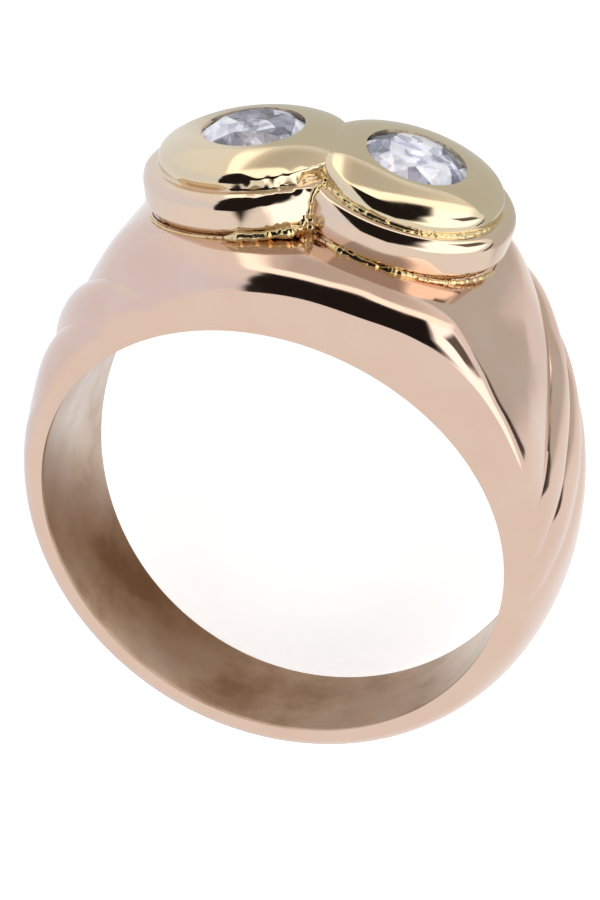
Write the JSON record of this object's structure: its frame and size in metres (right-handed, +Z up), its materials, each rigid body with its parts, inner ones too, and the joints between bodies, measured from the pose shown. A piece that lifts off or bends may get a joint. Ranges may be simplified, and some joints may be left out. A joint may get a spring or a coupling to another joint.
{
  "type": "diamond band ring",
  "caption": "Chunky two-tone finger ring: wide polished band with slanting lobes on its shoulders, tapering below, and round stones side by side in stepped bezels on top.",
  "frame": {"origin": "centre of the finger hole, half way along it", "axes": "The ring lies on its side, on the back edges of its head and shank. +Z is up, away from that surface, +Y runs from the shank to the stones, +X is to the right with the stones at the top. The finger hole leans 11.9 degrees from Z because the head is wider than the shank."},
  "size_m": [0.0211, 0.0248, 0.0126],
  "materials": {
    "rose_gold": "polished, lightly worn",
    "yellow_gold": "polished, lightly worn",
    "diamond": "polished facets"
  },
  "bodies": {
    "root": {"band": "rose_gold", "bezel_pair": "yellow_gold", "stone_left": "diamond", "stone_right": "diamond"}
  },
  "joints": []
}
